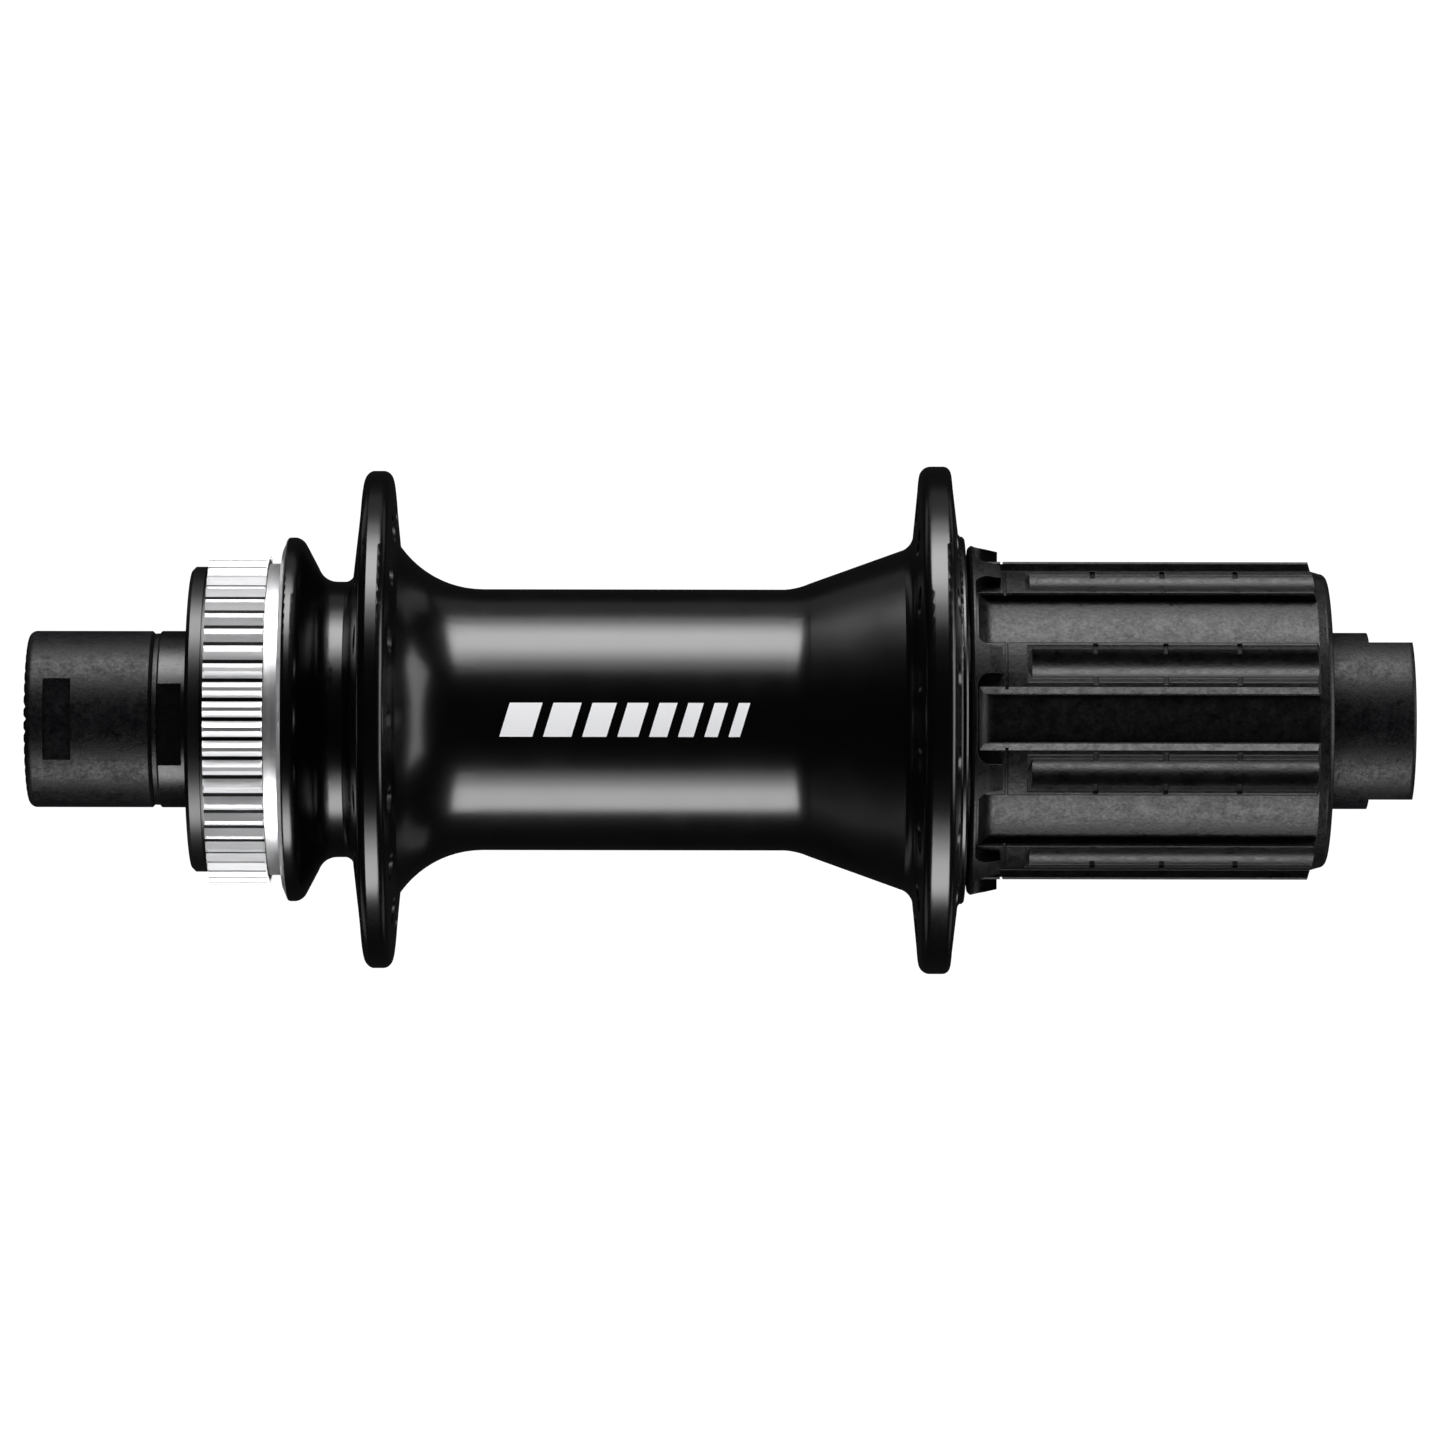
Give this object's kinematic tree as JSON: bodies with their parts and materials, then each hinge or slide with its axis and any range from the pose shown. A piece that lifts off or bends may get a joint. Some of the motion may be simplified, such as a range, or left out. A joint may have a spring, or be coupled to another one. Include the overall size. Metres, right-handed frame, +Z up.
{
  "type": "bicycle rear hub",
  "caption": "Rear hub for a through axle and disc brake: barrel with two spoke flanges, splined rotor mount, splined ratchet freehub and locknuts on a hollow axle.",
  "frame": {"origin": "on the axle line, midway between the outer faces of the locknuts", "axes": "+X along the axle towards the sprocket side, +Z up"},
  "size_m": [0.148, 0.0544, 0.0544],
  "materials": {
    "black_anodised": "black anodised, smooth semi-gloss; the rotor spline is bare machined metal",
    "dark_steel": "black-finished steel, satin",
    "bright_steel": "ground hardened steel",
    "ball_steel": "polished bearing steel",
    "pressed_steel": "zinc-plated pressed sheet",
    "axle_alloy": "drawn tube, bare",
    "cap_alloy": "black anodised, satin, fine blast",
    "seal_rubber": "matt moulded nitrile",
    "spring_wire": "drawn spring wire"
  },
  "bodies": {
    "axle_assembly": {"axle_tube": "axle_alloy", "left_locknut": "cap_alloy", "left_lock_washer": "dark_steel", "left_cone": "dark_steel", "left_cone_seal": "seal_rubber", "right_cone": "dark_steel", "right_cone_seal": "seal_rubber", "right_dust_cover": "pressed_steel", "right_spacer": "axle_alloy", "right_locknut": "cap_alloy"},
    "hub_shell": {"hub_shell": "black_anodised", "left_bearing_cup": "bright_steel", "left_dust_cap": "pressed_steel", "freehub_inner_body": "bright_steel", "freehub_fixing_bolt": "dark_steel", "freehub_washer": "bright_steel", "right_bearing_cup": "bright_steel", "shell_seal": "seal_rubber", "pawl_spring": "spring_wire"},
    "freehub": {"freehub_outer_body": "dark_steel", "freehub_end_seal": "seal_rubber"},
    "pawl_a": {"pawl_a": "bright_steel"},
    "pawl_b": {"pawl_b": "bright_steel"},
    "left_ball_set": {"left_balls": "ball_steel", "left_ball_retainer": "pressed_steel"},
    "right_ball_set": {"right_balls": "ball_steel", "right_ball_retainer": "pressed_steel"},
    "freehub_inboard_ball_set": {"freehub_inboard_balls": "ball_steel"},
    "freehub_outboard_ball_set": {"freehub_outboard_balls": "ball_steel"}
  },
  "joints": [
    {"name": "hub_spin", "type": "hinge", "parent": "axle_assembly", "child": "hub_shell", "pos_m": [0, 0, 0], "axis": [1, 0, 0], "continuous": true},
    {"name": "freewheel_spin", "type": "hinge", "parent": "hub_shell", "child": "freehub", "pos_m": [0, 0, 0], "axis": [1, 0, 0], "continuous": true},
    {"name": "pawl_a_swing", "type": "hinge", "parent": "hub_shell", "child": "pawl_a", "pos_m": [0.0385, 0.01048, 0.00381], "axis": [1, 0, 0], "range_deg": [0, 9], "stiffness_Nm_per_rad": 0.0005, "springref_deg": -20.05},
    {"name": "pawl_b_swing", "type": "hinge", "parent": "hub_shell", "child": "pawl_b", "pos_m": [0.0385, -0.01048, -0.00381], "axis": [1, 0, 0], "range_deg": [0, 9], "stiffness_Nm_per_rad": 0.0005, "springref_deg": -20.05},
    {"name": "left_ball_orbit", "type": "hinge", "parent": "axle_assembly", "child": "left_ball_set", "pos_m": [0, 0, 0], "axis": [1, 0, 0], "continuous": true},
    {"name": "right_ball_orbit", "type": "hinge", "parent": "axle_assembly", "child": "right_ball_set", "pos_m": [0, 0, 0], "axis": [1, 0, 0], "continuous": true},
    {"name": "freehub_inboard_ball_orbit", "type": "hinge", "parent": "hub_shell", "child": "freehub_inboard_ball_set", "pos_m": [0, 0, 0], "axis": [1, 0, 0], "continuous": true},
    {"name": "freehub_outboard_ball_orbit", "type": "hinge", "parent": "hub_shell", "child": "freehub_outboard_ball_set", "pos_m": [0, 0, 0], "axis": [1, 0, 0], "continuous": true}
  ],
  "couplings": [
    {"joint": "left_ball_orbit", "follows": "hub_spin", "ratio": 0.5656},
    {"joint": "right_ball_orbit", "follows": "hub_spin", "ratio": 0.5656},
    {"joint": "freehub_inboard_ball_orbit", "follows": "freewheel_spin", "ratio": 0.5432},
    {"joint": "freehub_outboard_ball_orbit", "follows": "freewheel_spin", "ratio": 0.5432}
  ]
}
